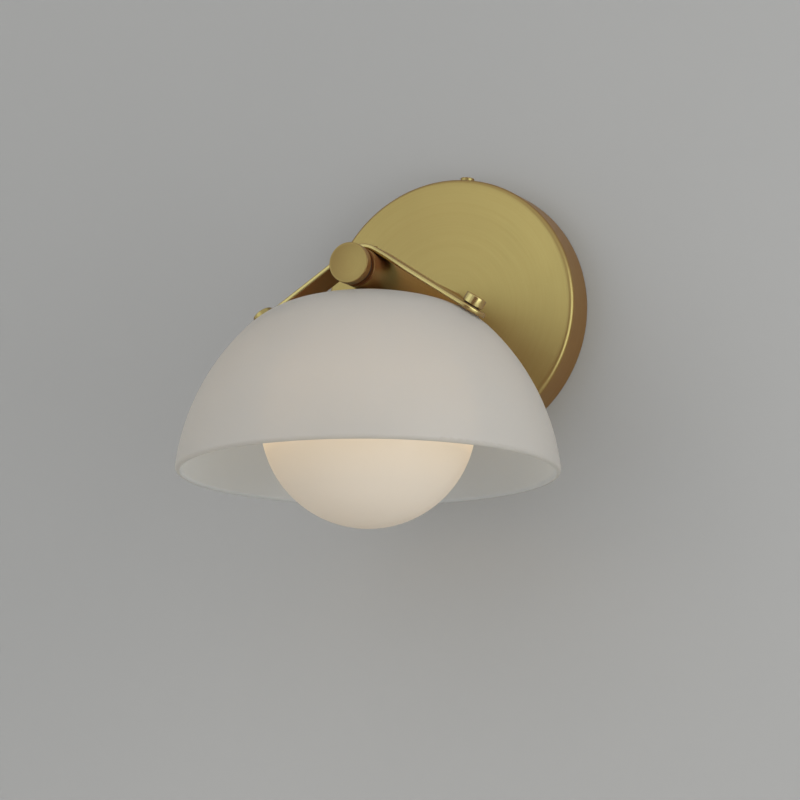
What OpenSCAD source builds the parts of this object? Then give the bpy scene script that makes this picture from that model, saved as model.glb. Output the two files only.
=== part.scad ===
// Arm wall sconce: a round wall canopy, a straight horizontal arm, an opal glass dome hung under
// the arm by a bent strap and two thumb screws, and a glass globe inside the dome.
// Units are millimetres. The origin is the centre of the bracket's back face, on the wall.
// X is to the right of someone facing the wall, Y points into the wall and Z is up.

/* [Canopy] */
// Outer diameter of the canopy
canopy_d = 130; // [114:1:170]
// Distance from the wall to the canopy's front face
canopy_depth = 18.5; // [18:0.5:30]
// Thickness of the spun sheet
canopy_wall = 1.2; // [0.8:0.1:2]
// Radius of the rounded front edge
canopy_edge_r = 2.2; // [2.1:0.1:5]

/* [Wall bracket] */
// Diameter of the bracket's round plate
bracket_d = 100; // [98:1:106]
// Thickness of the bracket's sheet
bracket_t = 2; // [1.5:0.1:2.5]
// Distance between the middles of the two slots for the box screws
slot_spacing = 79.4; // [76:0.1:82]
// Length of each slot from end to end
slot_length = 14; // [8:0.5:14]
// Width of each slot
slot_w = 4.8; // [4:0.1:6]
// Diameter of the hole that the supply wires come through
supply_d = 26; // [16:1:28]
// Width of each bent ear
ear_w = 12; // [9:0.5:16]
// Gap between an ear and the inside of the canopy's wall
ear_gap = 1.3; // [1:0.1:2]
// How far round from straight up the ears and their screws sit, in degrees
ear_turn = 5; // [0:1:30]
// Distance from the wall to the side screws' axis
side_screw_h = 9; // [7:0.5:10]
// Diameter of a side screw's head
side_head_d = 6.8; // [6:0.1:9]
// Height of a side screw's head
side_head_h = 2.3; // [1.5:0.1:5]
// Thread diameter of the side screws
side_thread_d = 4; // [3:0.5:5]
// Diameter of the ground screw's head
ground_head_d = 8; // [6:0.5:10]
// Thread diameter of the ground screw
ground_thread_d = 4; // [3:0.5:5]

/* [Terminal block] */
// Width of the terminal block
block_w = 30; // [28:1:36]
// Height of the block off the bracket's plate
block_h = 10; // [9:0.5:11]
// Length of the block from top to bottom
block_l = 14; // [10:1:18]
// Distance from the arm's axis down to the block's top
block_drop = 24; // [20:1:28]
// Distance between the block's poles
pole_spacing = 9; // [8:0.5:10]

/* [Arm] */
// Outer diameter of the arm's tube
arm_d = 19; // [16:0.5:24]
// Wall of the arm's tube
arm_wall = 1.5; // [1:0.1:2]
// Distance from the wall to the middle of the strap, dome and globe
reach = 113.5; // [112:0.5:220]
// How far the tube runs on past the middle of the dome
arm_overrun = 15.2; // [14.5:0.1:17]
// Bevel at the tube's front end
arm_bevel = 0.4; // [0.2:0.1:0.8]
// Thread diameter of the hollow nipples
nipple_d = 10; // [9:0.5:11]
// Bore of the hollow nipples
nipple_bore = 6.8; // [6:0.1:7.4]
// Distance across the flats of the nipples' nuts
nut_flats = 14; // [13:0.5:15]
// Thickness of the nipples' nuts
nut_t = 3; // [2:0.5:4]

/* [End knob] */
// Diameter of the end knob
knob_d = 19.5; // [16:0.5:28]
// Length of the end knob
knob_l = 4.8; // [3:0.1:12]
// Bevel round the end knob's edges
knob_bevel = 0.25; // [0.1:0.05:0.8]
// Diameter of the dark neck behind the knob
neck_d = 15.6; // [10:0.1:15.8]
// Length of the dark neck
neck_l = 4.7; // [2:0.1:10]
// Thread diameter of the knob's stud
stud_d = 6; // [4:0.5:8]
// Length of the knob's stud inside the arm
stud_l = 8.5; // [7:0.5:9]
// Length of the plug in the tube's rear end
plug_l = 12; // [12:0.5:14]

/* [Strap] */
// Width of the strap
strap_w = 19.2; // [14:0.2:24]
// Thickness of the strap
strap_t = 2.4; // [1.5:0.1:3]
// Distance from a thumb screw's axis to the strap's rounded tip
strap_tail = 8; // [7:0.1:12]
// Slope of the strap's two legs below level, in degrees
leg_slope = 33.5; // [32.5:0.5:36]
// Gap between the strap and the arm's tube
strap_gap = 0.3; // [0.2:0.1:0.5]
// Thread diameter of the screw that holds the strap on the arm
strap_thread_d = 4; // [3:0.5:5]
// Diameter of that screw's flush head
strap_head_d = 7.6; // [7:0.1:9]

/* [Thumb screws] */
// Diameter of a thumb screw's head
thumb_d = 10.4; // [8:0.1:14]
// Height of a thumb screw's head
thumb_h = 4.5; // [3:0.1:10]
// Thread diameter of the thumb screws
thumb_thread_d = 4; // [3:0.5:5]
// Diameter of the dark washer under a head
thumb_washer_d = 8.2; // [7.5:0.1:12]
// Thickness of that washer
thumb_washer_t = 0.6; // [0.5:0.1:2]
// Thickness of the soft pad between the strap and the glass
pad_t = 0.6; // [0.5:0.1:2]
// Diameter of the soft pad
pad_d = 11.5; // [11:0.5:16]
// Diameter of the holes in the glass
glass_hole_d = 7.4; // [7:0.1:10]
// Diameter of the round nut inside the dome
clamp_nut_d = 12; // [10:0.5:16]
// Thickness of that nut
clamp_nut_t = 4.5; // [3:0.5:6]

/* [Dome] */
// Radius of the dome's crown
crown_r = 130; // [124:1:140]
// Radius of the dome's shoulder
shoulder_r = 53; // [50:0.5:57]
// Radius of the dome's skirt
skirt_r = 109.5; // [104:0.5:116]
// Slope of the glass where the crown turns into the shoulder, in degrees
shoulder_slope = 16; // [14:0.5:18]
// Slope of the glass where the shoulder turns into the skirt, in degrees
skirt_slope = 44.7; // [43:0.1:48]
// Distance from the arm's axis down to the dome's rim
rim_drop = 95.6; // [86:0.5:104]
// Thickness of the dome's glass
glass_t = 3.6; // [3:0.1:4.5]

/* [Hub and lamp holder] */
// Diameter of the hub under the arm
hub_d = 22; // [20:0.5:24]
// How far the hub's top reaches up past the underside of the arm's tube
hub_saddle = 0.2; // [0.1:0.1:0.5]
// Radius of the hub's rounded shoulder
hub_shoulder_r = 1.5; // [1:0.5:2]
// Gap round the nut in the hub's pocket
pocket_gap = 0.5; // [0.3:0.1:0.8]
// Gap between the hub and the hole in the dome
hub_gap = 0.8; // [0.5:0.1:1.2]
// Gap between the lamp holder's collar and the dome's inner face
collar_gap = 0.4; // [0.3:0.1:0.8]
// Diameter of the lamp holder's collar
collar_d = 27.6; // [27:0.1:28.2]
// Thickness of the lamp holder's collar
collar_t = 3; // [3:0.5:3.5]
// Diameter of the lamp holder's thread for the globe
holder_thread_d = 24; // [23:0.1:24.2]
// Length of that thread
holder_thread_l = 8.7; // [6:0.1:9]
// Diameter of the lamp holder's nose
nose_d = 21; // [20:0.5:22]
// Length of the lamp holder's nose
nose_l = 9; // [6:0.5:11]

/* [Globe] */
// Diameter of the globe
globe_d = 101; // [96:1:112]
// Thickness of the globe's glass
globe_t = 2.3; // [1.5:0.1:2.4]
// Outer diameter of the globe's neck
globe_neck_d = 29.2; // [29:0.1:29.4]
// Length of the globe's neck above the sphere
globe_neck_l = 3; // [3:0.1:8]
// Thickness of the soft ring on the globe's neck
gasket_t = 1.2; // [0.8:0.1:1.8]

/* [Bulb] */
// Diameter of the bulb's capsule
capsule_d = 14; // [12:0.5:18]
// Length of the bulb below its base
capsule_l = 38; // [30:1:44]
// Width of the bulb's base
base_w = 14; // [13:0.5:15]
// Thickness of the bulb's base
base_t = 6.6; // [6:0.1:8]
// Length of the bulb's base
base_l = 9; // [7:0.5:12]
// Distance between the bulb's two pins
pin_spacing = 9; // [9:0.1:9.4]
// Diameter of the wire of the pins
pin_d = 1.1; // [1:0.1:1.3]
// Length of the pins
pin_l = 10; // [8:0.5:11]

/* [Leads] */
// Diameter of an insulated lead
lead_d = 1.6; // [1.2:0.1:1.8]

/* [Hidden] */
$fn = 96;

// A fit between a thread and its hole, on the radius
thread_fit = 0.05;
// A free hole round a screw, on the radius
screw_gap = 0.2;
// A small overshoot that lets a cut go right through
cut = 1;
// Clearance that keeps curved faces from touching
skin = 0.05;

canopy_r = canopy_d / 2;
arm_r = arm_d / 2;
arm_front = reach + arm_overrun;
tube_bore_r = arm_r - arm_wall;
nipple_r = nipple_d / 2;

// Bracket and side screws, as distances from the arm's axis
ear_out = canopy_r - canopy_wall - ear_gap;
ear_root = bracket_d / 2 - 4;
ear_len = side_screw_h + side_thread_d / 2 + 3;
side_shank_in = ear_out - bracket_t - 2;
side_thread_r = side_thread_d / 2;
ground_x = supply_d / 2 + ground_head_d / 2 + 3;
ground_z = -3;
ground_head_h = 2.4;
ground_slot = 1;

// Terminal block, with its leads halfway up its side
lead_h = bracket_t + block_h / 2;
terminal_screw_d = 4.5;
terminal_screw_l = 3;
driver_slot = 0.8;

// Nipples, nuts and washer inside the canopy
washer_t = 1.2;
washer_r = 9;
nut_front = canopy_depth - canopy_wall - washer_t;
arm_nipple_back = nut_front - nut_t - 3.5;
arm_nipple_l = canopy_depth + plug_l - 2 - arm_nipple_back;
// The plug in the tube's front end stops short of the nipple that carries the hub
front_plug_l = arm_overrun - nipple_r - 0.5;

// Strap in the frame of one leg: x runs down the leg, z is square to it
strap_in = arm_r + strap_gap;
strap_out = strap_in + strap_t;
glass_out = strap_in - pad_t;
glass_in = glass_out - glass_t;

// The shoulder's arc is set against the legs, and a thumb screw's axis runs through its centre
shoulder_x = (crown_r - shoulder_r) * sin(shoulder_slope);
shoulder_z = (glass_out - shoulder_r - shoulder_x * sin(leg_slope)) / cos(leg_slope);
leg_to_screw = shoulder_x * cos(leg_slope) - shoulder_z * sin(leg_slope);

// Pieces along a thumb screw's axis, from the head inwards
pad_r = pad_d / 2;
// How far the dome's inner face curves away under a flat washer
washer_dip = (shoulder_r - glass_t) - sqrt(pow(shoulder_r - glass_t, 2) - pow(pad_r, 2));
inner_washer_t = 1;
inner_washer_top = glass_in - washer_dip - skin;
clamp_nut_top = inner_washer_top - inner_washer_t;
thumb_seat = strap_out + thumb_washer_t;
thumb_tip = clamp_nut_top - clamp_nut_t - 1;
thumb_thread_r = thumb_thread_d / 2;
thumb_bevel = 0.3;

// Centres of the dome's arcs, as [distance from the axis, height]
function slope_dir(a) = [sin(a), cos(a)];
shoulder_mid = [shoulder_x, shoulder_z];
crown_mid = shoulder_mid - (crown_r - shoulder_r) * slope_dir(shoulder_slope);
skirt_point = shoulder_mid + shoulder_r * slope_dir(skirt_slope);
skirt_mid = skirt_point - skirt_r * slope_dir(skirt_slope);
lip_r = glass_t / 2;
rim_slope = acos((lip_r - rim_drop - skirt_mid[1]) / (skirt_r - lip_r));
lip_mid = skirt_mid + (skirt_r - lip_r) * slope_dir(rim_slope);

// Hub, lamp holder and globe, as heights from the arm's axis
hub_r = hub_d / 2;
hub_top = -arm_r + hub_saddle;
holder_gap = 0.3;
collar_r = collar_d / 2;
collar_top = crown_mid[1] + sqrt(pow(crown_r - glass_t, 2) - pow(collar_r, 2)) - collar_gap;
collar_bottom = collar_top - collar_t;
hub_nut_bottom = collar_top + holder_gap;
hub_roof = hub_nut_bottom + nut_t;
hub_nipple_bottom = collar_top - 4.2;
hub_nipple_top = -arm_r + arm_wall + 1.5;
thread_bottom = collar_bottom - holder_thread_l;
nose_bottom = thread_bottom - nose_l;
holder_thread_r = holder_thread_d / 2;
neck_gap = 0.3;
globe_bore_r = holder_thread_r + neck_gap;
globe_r = globe_d / 2;
globe_neck_r = globe_neck_d / 2;
gasket_top = collar_bottom - skin;
globe_neck_top = gasket_top - gasket_t - skin;
globe_z = globe_neck_top - globe_neck_l - sqrt(pow(globe_r, 2) - pow(globe_neck_r, 2));

// Bulb under the lamp holder's nose
base_top = nose_bottom - 0.3;
capsule_r = capsule_d / 2;
capsule_top = base_top - base_l;
capsule_end = capsule_top - capsule_l;
contact_w = 3.4;
contact_d = 2.6;
contact_wall = 0.4;
contact_top = hub_nipple_bottom - 2;
holder_cavity_r = 7.5;
pin_slot_w = contact_w + 0.6;
pin_slot_d = contact_d + 0.6;

lead_r = lead_d / 2;
lead_x = 1.7;

brass = "#B39A5E";
dark_rubber = "#2A2019";
zinc = "silver";
white_glass = "#E8E4DC";

// Turns children so that their z axis runs out from the wall along the arm
module along_arm() {
    rotate([90, 0, 0]) children();
}

// Moves children to the middle of the dome, on the arm's axis
module at_head() {
    translate([0, -reach, 0]) children();
}

// Puts children in the frame of the right leg (side 1) or the left leg (side -1) of the strap
module on_leg(side) {
    at_head() mirror([side < 0 ? 1 : 0, 0, 0]) rotate([0, leg_slope, 0]) children();
}

// Puts children at the thumb screw of one leg, with z along the screw's axis
module on_thumb(side) {
    on_leg(side) translate([leg_to_screw, 0, 0]) children();
}

// Turns children so that their z axis is the axis of the top or the bottom side screw
module on_ear(side) {
    translate([0, -side_screw_h, 0])
        rotate([0, side > 0 ? ear_turn : ear_turn + 180, 0]) children();
}

// A flat ring from z = 0 up
module ring(outer_r, inner_r, height) {
    difference() {
        cylinder(r = outer_r, h = height);
        translate([0, 0, -cut]) cylinder(r = inner_r, h = height + 2 * cut);
    }
}

// A disc from z = 0 up with a bevel round both ends
module bevelled_disc(disc_r, height, bevel) {
    rotate_extrude() polygon([
        [0, 0], [disc_r - bevel, 0], [disc_r, bevel],
        [disc_r, height - bevel], [disc_r - bevel, height], [0, height]
    ]);
}

// A six-sided nut from z = 0 up
module hex_nut(flats, bore_r, height) {
    difference() {
        cylinder(r = flats / 2 / cos(30), h = height, $fn = 6);
        translate([0, 0, -cut]) cylinder(r = bore_r, h = height + 2 * cut);
    }
}

// A hollow nipple from z = 0 up
module nipple(length) {
    ring(nipple_r - thread_fit, nipple_bore / 2, length);
}

// The outline of a round box with a rounded top edge, to be turned about the z axis
module rounded_box_outline(box_r, height, edge_r) {
    square([box_r, height - edge_r]);
    square([box_r - edge_r, height]);
    translate([box_r - edge_r, height - edge_r]) circle(r = edge_r);
}

// A lead of round wire along a list of points
module lead(points) {
    for (i = [1 : len(points) - 1]) {
        step = points[i] - points[i - 1];
        length = norm(step);
        translate(points[i - 1])
            rotate([0, acos(step[2] / length), atan2(step[1], step[0])])
                cylinder(r = lead_r, h = length);
        if (i < len(points) - 1)
            translate(points[i]) sphere(r = lead_r + skin);
    }
}

module wall_bracket() {
    color(zinc) difference() {
        union() {
            along_arm() cylinder(d = bracket_d, h = bracket_t);
            for (side = [-1, 1]) on_ear(side) {
                translate([-ear_w / 2, side_screw_h - bracket_t, ear_root])
                    cube([ear_w, bracket_t, ear_out - ear_root]);
                translate([-ear_w / 2, side_screw_h - ear_len, ear_out - bracket_t])
                    cube([ear_w, ear_len, bracket_t]);
            }
        }
        along_arm() translate([0, 0, -cut]) cylinder(d = supply_d, h = bracket_t + 2 * cut);
        for (side = [-1, 1]) {
            along_arm() translate([side * slot_spacing / 2, 0, -cut]) {
                translate([-(slot_length - slot_w) / 2, -slot_w / 2, 0])
                    cube([slot_length - slot_w, slot_w, bracket_t + 2 * cut]);
                for (end = [-1, 1]) translate([end * (slot_length - slot_w) / 2, 0, 0])
                    cylinder(d = slot_w, h = bracket_t + 2 * cut);
            }
            on_ear(side) translate([0, 0, ear_out - bracket_t - cut])
                cylinder(r = side_thread_r, h = bracket_t + 2 * cut);
        }
        translate([ground_x, 0, ground_z]) along_arm() translate([0, 0, -cut])
            cylinder(d = ground_thread_d, h = bracket_t + 2 * cut);
    }
}

module ground_screw() {
    color("#3F7F46") translate([ground_x, 0, ground_z]) along_arm() {
        cylinder(r = ground_thread_d / 2 - thread_fit, h = bracket_t + skin);
        translate([0, 0, bracket_t]) difference() {
            cylinder(d = ground_head_d, h = ground_head_h);
            translate([-ground_head_d, -ground_slot / 2, ground_head_h - ground_slot])
                cube([2 * ground_head_d, ground_slot, 2 * ground_slot]);
        }
    }
}

// Where the block's poles are, from left to right
function pole_x(i) = (i - 1) * pole_spacing;

module terminal_block() {
    color("#E9E6DE") difference() {
        translate([-block_w / 2, -bracket_t - block_h, -block_drop - block_l])
            cube([block_w, block_h, block_l]);
        for (i = [0 : 2])
            translate([pole_x(i), -bracket_t - block_h - cut, -block_drop - block_l / 2])
                rotate([-90, 0, 0])
                    cylinder(d = terminal_screw_d + 2 * screw_gap, h = terminal_screw_l + 1 + cut);
    }
}

module terminal_screws() {
    color(zinc) for (i = [0 : 2])
        translate([pole_x(i), -bracket_t - block_h, -block_drop - block_l / 2])
            rotate([-90, 0, 0]) translate([0, 0, 1]) difference() {
                cylinder(d = terminal_screw_d, h = terminal_screw_l);
                translate([-terminal_screw_d, -driver_slot / 2, -driver_slot])
                    cube([2 * terminal_screw_d, driver_slot, 2 * driver_slot]);
            }
}

module canopy() {
    color(brass) difference() {
        along_arm() rotate_extrude() difference() {
            rounded_box_outline(canopy_r, canopy_depth, canopy_edge_r);
            translate([0, -cut])
                rounded_box_outline(canopy_r - canopy_wall, canopy_depth - canopy_wall + cut,
                                    canopy_edge_r - canopy_wall);
        }
        along_arm() cylinder(r = nipple_r + screw_gap, h = canopy_depth + cut);
        for (side = [-1, 1]) on_ear(side) translate([0, 0, ear_out])
            cylinder(r = side_thread_r + screw_gap, h = canopy_wall + ear_gap + cut);
    }
}

module side_screw(side) {
    color(brass) on_ear(side) {
        translate([0, 0, side_shank_in])
            cylinder(r = side_thread_r - thread_fit, h = canopy_r + skin - side_shank_in);
        translate([0, 0, canopy_r + skin]) bevelled_disc(side_head_d / 2, side_head_h, 0.3);
    }
}

module arm_nipple() {
    color(zinc) along_arm() translate([0, 0, arm_nipple_back]) nipple(arm_nipple_l);
}

module arm_nut() {
    color(zinc) along_arm() translate([0, 0, nut_front - nut_t])
        hex_nut(nut_flats, nipple_r, nut_t);
}

module arm_washer() {
    color(zinc) along_arm() translate([0, 0, nut_front])
        ring(washer_r, nipple_r + screw_gap, washer_t);
}

module arm_tube() {
    color(brass) difference() {
        along_arm() translate([0, 0, canopy_depth]) rotate_extrude() polygon([
            [tube_bore_r, 0], [arm_r, 0],
            [arm_r, arm_front - canopy_depth - arm_bevel],
            [arm_r - arm_bevel, arm_front - canopy_depth],
            [tube_bore_r, arm_front - canopy_depth]
        ]);
        at_head() {
            translate([0, 0, -arm_d]) cylinder(r = nipple_r, h = arm_d);
            cylinder(d = strap_thread_d, h = arm_d);
        }
    }
}

module arm_rear_plug() {
    color(brass) along_arm() translate([0, 0, canopy_depth])
        ring(tube_bore_r - skin, nipple_r, plug_l);
}

module arm_front_plug() {
    color(brass) along_arm() translate([0, 0, arm_front - front_plug_l])
        ring(tube_bore_r - skin, stud_d / 2, front_plug_l);
}

module knob_neck() {
    color(dark_rubber) along_arm() translate([0, 0, arm_front])
        ring(neck_d / 2, stud_d / 2 + thread_fit, neck_l);
}

module end_knob() {
    color(brass) along_arm() {
        translate([0, 0, arm_front + neck_l]) bevelled_disc(knob_d / 2, knob_l, knob_bevel);
        translate([0, 0, arm_front - stud_l])
            cylinder(r = stud_d / 2 - thread_fit, h = stud_l + neck_l + skin);
    }
}

// The strap's outline seen along the arm: an arc over the tube and two straight legs
module strap_outline() {
    bend_step = leg_slope / 16;
    bend = [for (i = [-16 : 16]) slope_dir(i * bend_step)];
    leg_l = leg_to_screw + strap_tail;
    left_end = leg_l * [-cos(leg_slope), -sin(leg_slope)];
    right_end = leg_l * [cos(leg_slope), -sin(leg_slope)];
    polygon(concat(
        [strap_out * bend[0] + left_end],
        strap_out * bend,
        [strap_out * bend[32] + right_end, strap_in * bend[32] + right_end],
        [for (i = [-16 : 16]) strap_in * slope_dir(-i * bend_step)],
        [strap_in * bend[0] + left_end]
    ));
}

module strap() {
    color(brass) difference() {
        at_head() rotate([90, 0, 0]) translate([0, 0, -strap_w / 2])
            linear_extrude(height = strap_w) strap_outline();
        for (side = [-1, 1]) on_thumb(side) translate([0, 0, strap_in - cut]) {
            cylinder(r = thumb_thread_r + screw_gap, h = strap_t + 2 * cut);
            translate([strap_tail - strap_w / 2, 0, 0]) difference() {
                translate([0, -strap_w, 0]) cube([strap_w, 2 * strap_w, strap_t + 2 * cut]);
                translate([0, 0, -cut]) cylinder(d = strap_w, h = strap_t + 4 * cut);
            }
        }
        at_head() {
            cylinder(r = strap_thread_d / 2 + screw_gap, h = strap_out + cut);
            translate([0, 0, strap_in])
                cylinder(r1 = strap_thread_d / 2 + skin,
                         r2 = strap_thread_d / 2 + skin
                              + (strap_t + cut) * (strap_head_d / 2 - strap_thread_d / 2) / strap_t,
                         h = strap_t + cut);
        }
    }
}

module strap_screw() {
    color(brass) at_head() difference() {
        union() {
            translate([0, 0, strap_in])
                cylinder(r1 = strap_thread_d / 2 - thread_fit,
                         r2 = strap_head_d / 2 - thread_fit, h = strap_t);
            translate([0, 0, tube_bore_r - 1.5])
                cylinder(r = strap_thread_d / 2 - thread_fit, h = strap_in + skin - tube_bore_r + 1.5);
        }
        translate([0, 0, strap_out - 1]) cylinder(d = 2.5 / cos(30), h = 2, $fn = 6);
    }
}

// A boss between the arm and the lamp holder, through the hole in the dome
module hub() {
    color(brass) at_head() difference() {
        translate([0, 0, collar_top]) rotate_extrude()
            rounded_box_outline(hub_r, hub_top - collar_top, hub_shoulder_r);
        translate([0, 0, collar_top - cut])
            cylinder(r = nut_flats / 2 / cos(30) + pocket_gap, h = hub_roof - collar_top + cut);
        rotate([90, 0, 0]) translate([0, 0, -hub_d])
            cylinder(r = arm_r + skin, h = 2 * hub_d);
        translate([0, 0, collar_top]) cylinder(r = nipple_r, h = hub_top - collar_top);
    }
}

module hub_nipple() {
    color(zinc) at_head() translate([0, 0, hub_nipple_bottom])
        nipple(hub_nipple_top - hub_nipple_bottom);
}

module hub_nut() {
    color(zinc) at_head() translate([0, 0, hub_nut_bottom]) hex_nut(nut_flats, nipple_r, nut_t);
}

module lamp_holder() {
    color("#F3EFE6") at_head() difference() {
        union() {
            translate([0, 0, collar_bottom]) cylinder(r = collar_r, h = collar_t);
            translate([0, 0, thread_bottom])
                cylinder(r = holder_thread_r, h = holder_thread_l + collar_t / 2);
            translate([0, 0, nose_bottom]) cylinder(d = nose_d, h = nose_l + holder_thread_l);
        }
        translate([0, 0, hub_nipple_bottom - holder_gap])
            cylinder(r = nipple_r, h = collar_top - hub_nipple_bottom + 1);
        translate([0, 0, contact_top]) cylinder(r = holder_cavity_r,
                                                h = hub_nipple_bottom - holder_gap - contact_top);
        for (side = [-1, 1])
            translate([side * pin_spacing / 2 - pin_slot_w / 2, -pin_slot_d / 2, nose_bottom - cut])
                cube([pin_slot_w, pin_slot_d, contact_top - nose_bottom + 2 * cut]);
    }
}

// A folded strip round each pin, open at the bottom
module lamp_contacts() {
    color("#C9CBCB") at_head() for (side = [-1, 1])
        translate([side * pin_spacing / 2, 0, 0]) difference() {
            translate([-contact_w / 2, -contact_d / 2, nose_bottom + 1])
                cube([contact_w, contact_d, contact_top - nose_bottom - 1]);
            translate([-contact_w / 2 + contact_wall, -contact_d / 2 + contact_wall, nose_bottom])
                cube([contact_w - 2 * contact_wall, contact_d - 2 * contact_wall,
                      contact_top - nose_bottom - contact_wall]);
        }
}

module globe_gasket() {
    color("#D8D4C8") at_head() translate([0, 0, gasket_top - gasket_t])
        ring(globe_neck_r, globe_bore_r, gasket_t);
}

module globe() {
    color("#F2E3C4") at_head() difference() {
        union() {
            translate([0, 0, globe_z]) sphere(r = globe_r);
            translate([0, 0, globe_z + globe_r - globe_neck_l])
                cylinder(r = globe_neck_r, h = globe_neck_top - globe_z - globe_r + globe_neck_l);
        }
        translate([0, 0, globe_z]) sphere(r = globe_r - globe_t);
        translate([0, 0, globe_z]) cylinder(r = globe_bore_r, h = globe_r + globe_neck_l + cut);
    }
}

module bulb_capsule() {
    color("#FFF4D6") at_head() rotate_extrude() {
        translate([0, capsule_end + capsule_r])
            square([capsule_r, capsule_l - capsule_r]);
        intersection() {
            translate([0, capsule_end + capsule_r]) circle(r = capsule_r);
            translate([0, capsule_end]) square([capsule_r, capsule_r]);
        }
    }
}

module bulb_base() {
    color("#F3EFE6") at_head() translate([-base_w / 2, -base_t / 2, capsule_top])
        cube([base_w, base_t, base_l]);
}

module bulb_pins() {
    color(zinc) at_head() for (side = [-1, 1])
        translate([side * pin_spacing / 2, 0, base_top]) cylinder(d = pin_d, h = pin_l);
}

// One of the dome's arcs as a band of glass, between two slopes
module glass_band(middle, band_r, from, to) {
    far = 2 * band_r;
    // A hair of overlap joins each band to the one above it
    start = max(from - 0.01, 0);
    translate(middle) intersection() {
        difference() {
            circle(r = band_r);
            circle(r = band_r - glass_t);
        }
        polygon([[0, 0], far * slope_dir(start), far * slope_dir(to)]);
    }
}

module dome() {
    color(white_glass) difference() {
        at_head() rotate_extrude() difference() {
            union() {
                glass_band(crown_mid, crown_r, 0, shoulder_slope);
                glass_band(shoulder_mid, shoulder_r, shoulder_slope, skirt_slope);
                glass_band(skirt_mid, skirt_r, skirt_slope, rim_slope);
                translate(lip_mid) circle(r = lip_r);
            }
            translate(crown_mid) square([hub_r + hub_gap, 2 * crown_r]);
        }
        for (side = [-1, 1]) on_thumb(side) cylinder(d = glass_hole_d, h = strap_out);
    }
}

module dome_pads() {
    color("#DDE0DA") for (side = [-1, 1]) on_thumb(side) difference() {
        union() {
            translate([0, 0, glass_out]) cylinder(r = pad_r, h = pad_t);
            translate([0, 0, glass_in]) cylinder(r = glass_hole_d / 2 - screw_gap, h = glass_t + skin);
        }
        cylinder(r = thumb_thread_r + screw_gap, h = strap_out);
    }
}

module inner_washers() {
    color("#DDE0DA") for (side = [-1, 1]) on_thumb(side)
        translate([0, 0, inner_washer_top - inner_washer_t])
            ring(pad_r, thumb_thread_r + screw_gap, inner_washer_t);
}

module clamp_nuts() {
    color(brass) for (side = [-1, 1]) on_thumb(side) translate([0, 0, clamp_nut_top - clamp_nut_t])
        difference() {
            bevelled_disc(clamp_nut_d / 2, clamp_nut_t, 0.4);
            translate([0, 0, -cut]) cylinder(r = thumb_thread_r, h = clamp_nut_t + 2 * cut);
        }
}

module thumb_washer(side) {
    color(dark_rubber) on_thumb(side) translate([0, 0, strap_out])
        ring(thumb_washer_d / 2, thumb_thread_r + thread_fit, thumb_washer_t);
}

module thumb_screw(side) {
    color(brass) on_thumb(side) {
        translate([0, 0, thumb_seat]) bevelled_disc(thumb_d / 2, thumb_h, thumb_bevel);
        translate([0, 0, thumb_tip])
            cylinder(r = thumb_thread_r - thread_fit, h = thumb_seat + skin - thumb_tip);
    }
}

// A lead from one lamp contact, up through the hub and along the arm, to a pole of the block
module supply_lead(side, pole) {
    lead([
        [side * pin_spacing / 2, -reach, contact_top],
        [side * pin_spacing / 2, -reach, contact_top + lead_r + 2 * skin],
        [side * 2.4, -reach, contact_top + lead_r + 3 * skin],
        [side * lead_x, -reach, hub_nipple_bottom + 2],
        [side * lead_x, -reach, hub_nipple_top],
        [side * lead_x, 6 - reach, 0],
        [side * lead_x, -arm_nipple_back + 1, 0],
        [side * lead_x, -lead_h, -4],
        [pole_x(pole), -lead_h, 5 - block_drop],
        [pole_x(pole), -lead_h, -block_drop]
    ]);
}

module lead_live() {
    color("#1B1B1B") supply_lead(-1, 0);
}

module lead_neutral() {
    color("#E6E6E0") supply_lead(1, 1);
}

module lead_ground() {
    color("#3F7F46") lead([
        [ground_x, -lead_r - bracket_t, ground_z - ground_head_d / 2],
        [ground_x, -lead_r - bracket_t, ground_z - ground_head_d / 2 - 6],
        [pole_x(2), -lead_h, 4 - block_drop],
        [pole_x(2), -lead_h, -block_drop]
    ]);
}

wall_bracket();
ground_screw();
terminal_block();
terminal_screws();
canopy();
side_screw(1);  // side_screw_top
side_screw(-1);  // side_screw_bottom
arm_nipple();
arm_nut();
arm_washer();
arm_tube();
arm_rear_plug();
arm_front_plug();
knob_neck();
end_knob();
strap();
strap_screw();
hub();
hub_nipple();
hub_nut();
lamp_holder();
lamp_contacts();
globe_gasket();
globe();
bulb_capsule();
bulb_base();
bulb_pins();
dome();
dome_pads();
inner_washers();
clamp_nuts();
thumb_washer(-1);  // thumb_washer_left
thumb_washer(1);  // thumb_washer_right
thumb_screw(-1);  // thumb_screw_left
thumb_screw(1);  // thumb_screw_right
lead_live();
lead_neutral();
lead_ground();
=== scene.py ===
import bmesh
import bpy
import math
from mathutils import Matrix, Vector


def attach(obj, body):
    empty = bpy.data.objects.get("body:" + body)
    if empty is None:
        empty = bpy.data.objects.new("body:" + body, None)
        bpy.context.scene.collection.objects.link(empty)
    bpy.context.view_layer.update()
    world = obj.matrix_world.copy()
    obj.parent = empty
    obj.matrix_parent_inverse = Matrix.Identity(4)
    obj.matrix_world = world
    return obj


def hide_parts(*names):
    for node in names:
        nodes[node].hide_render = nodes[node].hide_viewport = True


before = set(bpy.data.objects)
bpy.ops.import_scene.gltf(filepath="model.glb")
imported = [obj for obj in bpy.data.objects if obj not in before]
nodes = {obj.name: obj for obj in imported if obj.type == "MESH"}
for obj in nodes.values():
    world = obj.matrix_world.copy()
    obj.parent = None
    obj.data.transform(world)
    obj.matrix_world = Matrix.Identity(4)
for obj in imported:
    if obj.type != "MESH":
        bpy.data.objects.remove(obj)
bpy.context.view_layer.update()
scene = bpy.context.scene

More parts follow.
